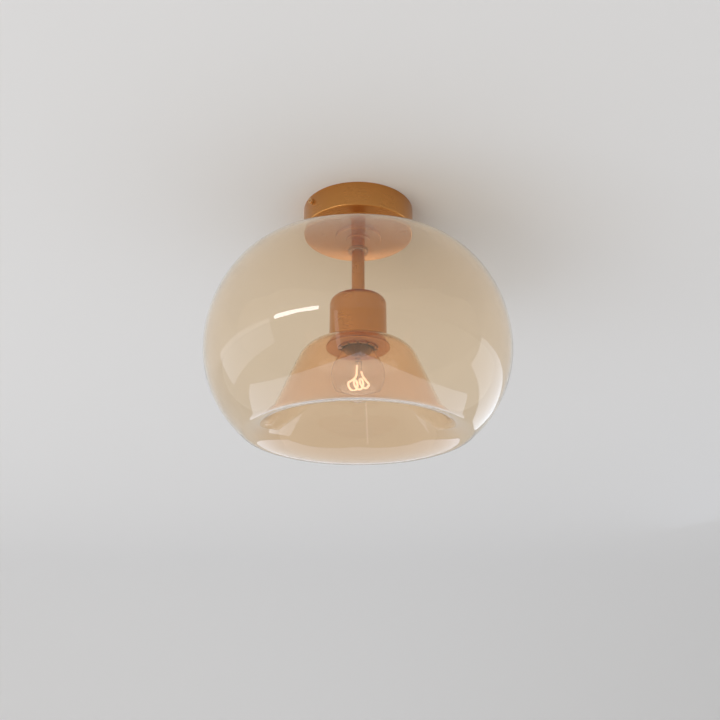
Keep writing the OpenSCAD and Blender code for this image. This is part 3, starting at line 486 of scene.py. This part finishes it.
def blowShade(s):
    c = shadeCentres(s)
    aCrown, aShoulder, aFold, aBell = c["angles"]
    aHole = math.degrees(math.acos(s["crownHole"] / s["crownRadius"]))
    first = c["crown"] + s["crownRadius"] * polar(aHole)
    drawing, end = startOutline(first.x, first.y)
    turns = {"crown": aCrown - aHole, "shoulder": aShoulder - aCrown, "flank": -aShoulder, "low": aFold,
             "fold": -90 - aFold, "inner": aBell + 90}
    for arc, degrees in turns.items():
        end = arcRound(drawing, end, c[arc], degrees, s["arcSteps"][arc])
    start = c["round"] + s["bellRound"] * polar(aBell + 180)
    end = lineTo(drawing, end, *(Vector((end.co.x, end.co.z)) * 0.5 + start * 0.5))
    end = lineTo(drawing, end, start.x, start.y)
    end = arcRound(drawing, end, c["round"], 90 - (aBell + 180), s["arcSteps"]["round"])
    lineTo(drawing, end, s["neckHole"], s["neckLevel"])
    spinOutline(drawing, s["steps"])
    bmesh.ops.solidify(drawing, geom=drawing.faces[:], thickness=s["wall"])
    bmesh.ops.recalc_face_normals(drawing, faces=drawing.faces)
    return drawing


glassPiece = finishPiece(blowShade(shade), "doubleWalledGlass", ["glass_bowl", "glass_bell"], "fixture", amberGlass)
print("ceiling light: glass blown,", len(glassPiece.data.polygons), "faces")


# Canopy: spun brass dish with a rolled lower edge and a hole for each side screw
dish = {"radius": 60, "height": 28, "wall": 1.2, "edge": 1.6, "lip": 0.3, "nippleHole": 5.05, "steps": 256,
        "screwTurn": 35.5, "screwDrop": 8.5, "screwHole": 2.3, "drillSides": 48, "drillReach": 2.2}


def spinDish(d):
    r, inside, low, floor = d["radius"], d["radius"] - d["wall"], -d["height"], d["wall"] - d["height"]
    return turnPart([(d["nippleHole"], low, 0), (r, low, d["edge"]), (r, 0, d["lip"]), (inside, 0, d["lip"]),
                     (inside, floor, d["edge"] - d["wall"]), (d["nippleHole"], floor, 0)], d["steps"])


def drillDish(piece, d):
    # one long drill goes through both walls
    drill = bmesh.new()
    hole = d["screwHole"] * mm
    bmesh.ops.create_cone(drill, cap_ends=True, segments=d["drillSides"], radius1=hole, radius2=hole,
                          depth=d["drillReach"] * d["radius"] * mm)
    for degrees, axis in ((90, "Y"), (d["screwTurn"], "Z")):
        bmesh.ops.rotate(drill, cent=(0, 0, 0), matrix=Matrix.Rotation(math.radians(degrees), 3, axis),
                         verts=drill.verts)
    bmesh.ops.translate(drill, vec=(0, 0, -d["screwDrop"] * mm), verts=drill.verts)
    mesh = bpy.data.meshes.new("drill")
    drill.to_mesh(mesh)
    drill.free()
    tool = bpy.data.objects.new("drill", mesh)
    scene.collection.objects.link(tool)
    cut = piece.modifiers.new("holes", "BOOLEAN")
    cut.object = tool
    bpy.context.view_layer.update()
    drilled = bpy.data.meshes.new_from_object(piece.evaluated_get(bpy.context.evaluated_depsgraph_get()))
    piece.modifiers.remove(cut)
    piece.data = drilled
    bpy.data.objects.remove(tool)


canopyPiece = finishPiece(spinDish(dish), "spunBrassCanopy", ["canopy"], "fixture", satinBrass)
drillDish(canopyPiece, dish)
canopyPiece.modifiers.new("evenNormals", "WEIGHTED_NORMAL").keep_sharp = True

# Collar, round nut and stem, turned from bar; a corner is (x, z, rounding)
stem = {"canopyLow": -28, "flangeRadius": 25, "flangeThick": 4.3, "flangeTopEdge": 0.25, "flangeEdge": 0.8,
        "nutRadius": 13, "nutThick": 2.5, "nutEdge": 0.5, "tubeRadius": 7, "tubeLength": 71.7, "tubeEdge": 0.3,
        "tubeSteps": 128, "bore": 5.05, "boreEdge": 0.2}
bore = stem["bore"]
flangeLow = stem["canopyLow"] - stem["flangeThick"]
tubeTop = flangeLow - stem["nutThick"]
tubeLow = tubeTop - stem["tubeLength"]
collarOutline = [(bore, stem["canopyLow"], 0), (stem["flangeRadius"], stem["canopyLow"], stem["flangeTopEdge"]),
                 (stem["flangeRadius"], flangeLow, stem["flangeEdge"]), (bore, flangeLow, 0)]
nutOutline = [(bore, flangeLow, 0), (stem["nutRadius"], flangeLow, 0),
              (stem["nutRadius"], tubeTop, stem["nutEdge"]), (bore, tubeTop, 0)]
tubeOutline = [(bore, tubeTop, stem["boreEdge"]), (stem["tubeRadius"], tubeTop, stem["tubeEdge"]),
               (stem["tubeRadius"], tubeLow, stem["tubeEdge"]), (bore, tubeLow, stem["boreEdge"])]
finishPiece(turnPart(collarOutline), "turnedCollar", ["stem_flange"], "fixture", satinBrass, True)
finishPiece(turnPart(nutOutline), "turnedRoundNut", ["flange_nut"], "fixture", satinBrass, True)
finishPiece(turnPart(tubeOutline, stem["tubeSteps"]), "drawnStemTube", ["stem_tube"], "fixture", satinBrass, True)

# Cup over the lampholder, spun with a round shoulder, and the ring that carries the glass
cup = {"radius": 30, "height": 56, "wall": 1.2, "shoulder": 8, "lip": 0.35, "hole": 5.05}
ring = {"top": -163, "radius": 33.3, "thick": 1.6, "edge": 0.3, "hubIn": 20.75, "hubOut": 22.35, "hubHeight": 7,
        "hubEdge": 0.25}
cupTop, cupLow, cupInside = tubeLow, tubeLow - cup["height"], cup["radius"] - cup["wall"]
ringLow, hubTop = ring["top"] - ring["thick"], ring["top"] + ring["hubHeight"]
cupOutline = [(cup["hole"], cupTop, 0), (cup["radius"], cupTop, cup["shoulder"]), (cup["radius"], cupLow, cup["lip"]),
              (cupInside, cupLow, cup["lip"]), (cupInside, cupTop - cup["wall"], cup["shoulder"] - cup["wall"]),
              (cup["hole"], cupTop - cup["wall"], 0)]
ringOutline = [(ring["hubIn"], ringLow, ring["hubEdge"]), (ring["radius"], ringLow, ring["edge"]),
               (ring["radius"], ring["top"], ring["edge"]), (ring["hubOut"], ring["top"], 0),
               (ring["hubOut"], hubTop, ring["hubEdge"]), (ring["hubIn"], hubTop, ring["hubEdge"])]
finishPiece(turnPart(cupOutline), "spunLampholderCup", ["cup"], "fixture", satinBrass, True)
finishPiece(turnPart(ringOutline), "turnedShadeRing", ["shade_ring"], "fixture", satinBrass, True)
print("ceiling light: brass turned")

# Bulb: blown globe with a hollow-curved neck, and the curled light strip on its leads
globe = {"radius": 28, "centre": -194.3, "neckRadius": 13, "neckLevel": -148, "seatRadius": 12.0,
         "seatLevel": -146, "wall": 0.8, "steps": 128, "neckSteps": 16, "ballSteps": 48}


def blowGlobe(g):
    drop = g["neckLevel"] - g["centre"]
    sweep = (drop ** 2 - g["radius"] ** 2 + g["neckRadius"] ** 2) / (2 * (g["radius"] - g["neckRadius"]))
    turn = math.degrees(math.atan2(drop, g["neckRadius"] + sweep))
    drawing, end = startOutline(g["seatRadius"], g["seatLevel"])
    end = lineTo(drawing, end, g["seatRadius"], g["neckLevel"])
    end = lineTo(drawing, end, g["neckRadius"], g["neckLevel"])
    end = arcRound(drawing, end, (g["neckRadius"] + sweep, g["neckLevel"]), turn, g["neckSteps"])
    arcRound(drawing, end, (0, g["centre"]), -90 - turn, g["ballSteps"])
    spinOutline(drawing, g["steps"])
    bmesh.ops.solidify(drawing, geom=drawing.faces[:], thickness=g["wall"])
    bmesh.ops.recalc_face_normals(drawing, faces=drawing.faces)
    return drawing


finishPiece(blowGlobe(globe), "blownGlobe", ["bulb_envelope"], "bulb", bulbGlass)

strip = {"diameter": 2.2, "curlRadius": 5.2, "curlPitch": 7.4, "curlTurn": 37, "curlCount": 2.75, "curlSteps": 14,
         "curlStart": 100, "softSteps": 3, "level": -204.8,
         "leadIn": [(-1, 0, 21.3), (-1.3, 0, 15), (-2.6, 1.5, 8.5)], "leadOut": [(5.4, -1, 8), (3.4, 0, 14.2)]}


def curlStrip(s):
    turn, points = math.radians(s["curlTurn"]), list(s["leadIn"])
    for i in range(int(s["curlCount"] * s["curlSteps"]) + 1):
        t = i / s["curlSteps"]
        angle, run = math.radians(360 * t + s["curlStart"]), (t - s["curlCount"] / 2) * s["curlPitch"]
        across = s["curlRadius"] * math.cos(angle)
        points.append((run * math.cos(turn) + across * math.sin(turn), across * math.cos(turn) - run * math.sin(turn),
                       s["curlRadius"] * math.sin(angle)))
    return [p + Vector((0, 0, s["level"])) for p in smoothPath(points + s["leadOut"], s["softSteps"])]


finishPiece(sweepTube(curlStrip(strip), strip["diameter"] / 2), "curledLightStrip", ["filament"], "bulb",
            phosphorStrip)

# Insulated wires, in the bracket's own directions: along the bar, across it and up
wires = {
    "diameter": 2.2, "turn": 35.5, "steps": 6,
    "brownWire": {"node": "live_wire", "sleeve": brownSilicone, "points": [
        (13.5, 1, -7.5), (13.5, 5, -7.5), (13.5, 9, -7.7), (12, 12, -9), (8, 12, -11), (4, 8, -12), (2, 3.5, -13),
        (1.3, 0.7, -16), (1.3, 0, -20), (1.3, 0, -50), (1.3, 0, -80), (1.3, 0, -108), (1.6, 0, -113),
        (3.8, 0, -116.2), (6.4, 0, -117.1), (9.5, 0, -117.1)]},
    "blueWire": {"node": "neutral_wire", "sleeve": blueSilicone, "points": [
        (21.5, 1, -7.5), (21.5, 5, -7.5), (21.5, 9, -7.7), (19.5, 13, -9.2), (14, 15, -12.5), (7, 13, -15),
        (1, 8.5, -15), (-1.2, 3.6, -15.2), (-1.3, 0.7, -17.5), (-1.3, 0, -21), (-1.3, 0, -50), (-1.3, 0, -80),
        (-1.3, 0, -108), (-1.6, 0, -113), (-3.8, 0, -116.2), (-6.4, 0, -117.1), (-9.5, 0, -117.1)]},
    "greenWire": {"node": "earth_wire", "sleeve": greenSilicone, "points": [
        (-19.5, 0, -3.7), (-24, 0, -3.8), (-27.5, 0, -6), (-29.5, 0, -11), (-28.5, 0, -17), (-24, 0, -22.5),
        (-19.5, 0, -24.8), (-16.5, 0, -25.1), (-13, 0, -25.1)]}}
for name in ("brownWire", "blueWire", "greenWire"):
    tube = sweepTube(smoothPath(wires[name]["points"], wires["steps"]), wires["diameter"] / 2)
    bmesh.ops.rotate(tube, cent=(0, 0, 0), matrix=Matrix.Rotation(math.radians(wires["turn"]), 3, "Z"),
                     verts=tube.verts)
    finishPiece(tube, name, [wires[name]["node"]], "fixture", wires[name]["sleeve"])
print("ceiling light: bulb, light strip and wires made")


# Stage: a pale ceiling that turns down into a wall far behind, with a round hole above the canopy
room = {"front": -5, "back": 2.4, "side": 7, "bend": 3, "bendSteps": 48, "drop": 4, "hole": 0.0585, "holeSides": 96}


def buildCeiling(r):
    sheet = bmesh.new()
    bmesh.ops.create_circle(sheet, segments=r["holeSides"], radius=r["hole"])
    corners = ((r["side"], r["back"], 0), (-r["side"], r["back"], 0),
               (-r["side"], r["front"], 0), (r["side"], r["front"], 0))
    outer = [sheet.verts.new(corner) for corner in corners]
    edges = [sheet.edges.new((outer[i], outer[(i + 1) % 4])) for i in range(4)]
    bmesh.ops.triangle_fill(sheet, edges=edges + [e for e in sheet.edges if e not in edges], use_beauty=True)
    backEdge = edges[0]
    turn = bmesh.ops.spin(sheet, geom=[backEdge, *backEdge.verts], cent=(0, r["back"], -r["bend"]), axis=(-1, 0, 0),
                          angle=math.radians(90), steps=r["bendSteps"])
    bottom = [g for g in turn["geom_last"] if isinstance(g, bmesh.types.BMEdge)]
    low = bmesh.ops.extrude_edge_only(sheet, edges=bottom)
    bmesh.ops.translate(sheet, vec=(0, 0, -r["drop"]),
                        verts=[g for g in low["geom"] if isinstance(g, bmesh.types.BMVert)])
    bmesh.ops.recalc_face_normals(sheet, faces=sheet.faces)
    if next(f for f in sheet.faces if abs(f.normal.z) > 0.9).normal.z > 0:
        bmesh.ops.reverse_faces(sheet, faces=sheet.faces)
    mesh = bpy.data.meshes.new("ceiling")
    sheet.to_mesh(mesh)
    sheet.free()
    mesh.shade_smooth()
    ceiling = bpy.data.objects.new("ceiling", mesh)
    scene.collection.objects.link(ceiling)
    return ceiling


paint = {"colour": "DADADA", "stipple": 3, "stippleDepth": 0.04, "stippleHeight": 0.2, "roughness": 0.9, "gloss": 0.2}


def ceilingPaint(p):
    # matt emulsion, seen from below only, so that views from above look into the canopy
    material, tree, place, output = newMaterial("mattEmulsion")
    stipple = addNode(tree, "ShaderNodeTexNoise", grainOf(p["stipple"], 2.0), {"Vector": place}).outputs["Fac"]
    bump = addNode(tree, "ShaderNodeBump", {"Strength": p["stippleDepth"], "Distance": p["stippleHeight"] * mm},
                   {"Height": stipple})
    matt = addNode(tree, "ShaderNodeBsdfPrincipled",
                   {"Base Color": linearColour(p["colour"]), "Roughness": p["roughness"],
                    "Specular IOR Level": p["gloss"]}, {"Normal": bump.outputs[0]})
    clear = addNode(tree, "ShaderNodeBsdfTransparent")
    behind = addNode(tree, "ShaderNodeNewGeometry").outputs["Backfacing"]
    mix = addNode(tree, "ShaderNodeMixShader", links={0: behind, 1: matt.outputs[0], 2: clear.outputs[0]})
    tree.links.new(mix.outputs[0], output.inputs["Surface"])
    return material


buildCeiling(room).data.materials.append(ceilingPaint(paint))

# Beyond the ceiling: a plain pale room, a little darker in front of the light than at its sides and behind it
sky = {"frontWalls": "CACACA", "sideWalls": "D6D6D6", "frontHalfAngle": 77, "blend": 0.12}


def paintWorld(s):
    world = bpy.data.worlds.new("studio")
    world.use_nodes = True
    scene.world = world
    tree = world.node_tree
    tree.nodes.clear()
    way = addNode(tree, "ShaderNodeTexCoord").outputs["Generated"]
    parts = addNode(tree, "ShaderNodeSeparateXYZ", links={0: way}).outputs
    level = addNode(tree, "ShaderNodeCombineXYZ", links={"X": parts["X"], "Y": parts["Y"]}).outputs[0]
    unit = addNode(tree, "ShaderNodeVectorMath", {"operation": "NORMALIZE"}, {0: level}).outputs[0]
    ahead = addNode(tree, "ShaderNodeSeparateXYZ", links={0: unit}).outputs["Y"]
    turn = -math.cos(math.radians(s["frontHalfAngle"]))
    side = addNode(tree, "ShaderNodeMapRange",
                   {"interpolation_type": "SMOOTHSTEP", "From Min": turn - s["blend"], "From Max": turn + s["blend"]},
                   {"Value": ahead}).outputs["Result"]
    walls = addNode(tree, "ShaderNodeMix", betweenColours(s["frontWalls"], s["sideWalls"]), {0: side}).outputs[2]
    background = addNode(tree, "ShaderNodeBackground", {"Strength": 1.0}, {"Color": walls})
    addNode(tree, "ShaderNodeOutputWorld", links={"Surface": background.outputs[0]})


paintWorld(sky)


def addSoftbox(name, box):
    # radiance is the brightness that its own reflection shows, where 1 is white
    lamp = bpy.data.lights.new(name, "AREA")
    lamp.shape = "RECTANGLE"
    lamp.size, lamp.size_y = box["size"]
    lamp.energy = box["radiance"] * math.pi * box["size"][0] * box["size"][1]
    lamp.color = linearColour(box["colour"])[:3]
    holder = bpy.data.objects.new(name, lamp)
    holder.location = box["place"]
    aim = (Vector(box["aim"]) - Vector(box["place"])).to_track_quat("-Z", "Y").to_euler()
    aim.rotate_axis("Z", math.radians(box.get("turn", 0)))
    holder.rotation_euler = aim
    holder.visible_camera = False
    holder.visible_transmission = False
    holder.visible_diffuse = box["scatters"]
    holder.visible_glossy = not box["scatters"]
    scene.collection.objects.link(holder)


# Daylight from the front left lights the ceiling; the floor, windows, a door's slit and a strip lamp show in the gloss
softboxes = {
    "daylight": {"size": (5, 5), "place": (-3.3, -2.6, -3.7), "aim": (0.2, 1.2, -0.2),
                 "radiance": 2.55, "colour": "FFFBF8", "scatters": True},
    "paleFloor": {"size": (6, 6), "place": (-0.2, 1.33, -2.4), "aim": (-0.2, 1.33, 0), "turn": 41,
                  "radiance": 1.9, "colour": "DEE8FF", "scatters": False},
    "rightWindow": {"size": (2.1, 0.75), "place": (1.51, 0.98, -0.4), "aim": (0, 0, -0.2),
                    "radiance": 1.7, "colour": "E2EEFF", "scatters": False},
    "leftWindow": {"size": (1.8, 0.7), "place": (-1.8, -0.1, -0.38), "aim": (0, 0, -0.2),
                   "radiance": 1.1, "colour": "E2EEFF", "scatters": False},
    "doorSlit": {"size": (0.12, 1.6), "place": (-0.62, -2.42, -0.95), "aim": (0, 0, -0.2),
                 "radiance": 1.5, "colour": "FFFFFF", "scatters": False},
    "stripLamp": {"size": (1.0, 0.105), "place": (-1.17, -1.35, -0.06), "aim": (0, 0, -0.19),
                  "radiance": 12, "colour": "FFFFFF", "scatters": False},
}
for name, box in softboxes.items():
    addSoftbox(name, box)

# Camera below and in front, looking up as the photograph does
shot = {"place": (0.002, -0.8378, -0.51035), "pitch": 21.706, "focalPixels": 871.6, "framePixels": 720, "sensor": 36}
lens = bpy.data.cameras.new("shot")
lens.sensor_width = shot["sensor"]
lens.lens = shot["sensor"] * shot["focalPixels"] / shot["framePixels"]
viewer = bpy.data.objects.new("shot", lens)
viewer.location = shot["place"]
viewer.rotation_euler = (math.radians(90 + shot["pitch"]), 0, 0)
scene.collection.objects.link(viewer)
scene.camera = viewer
print("ceiling light: stage, lamps and camera set")
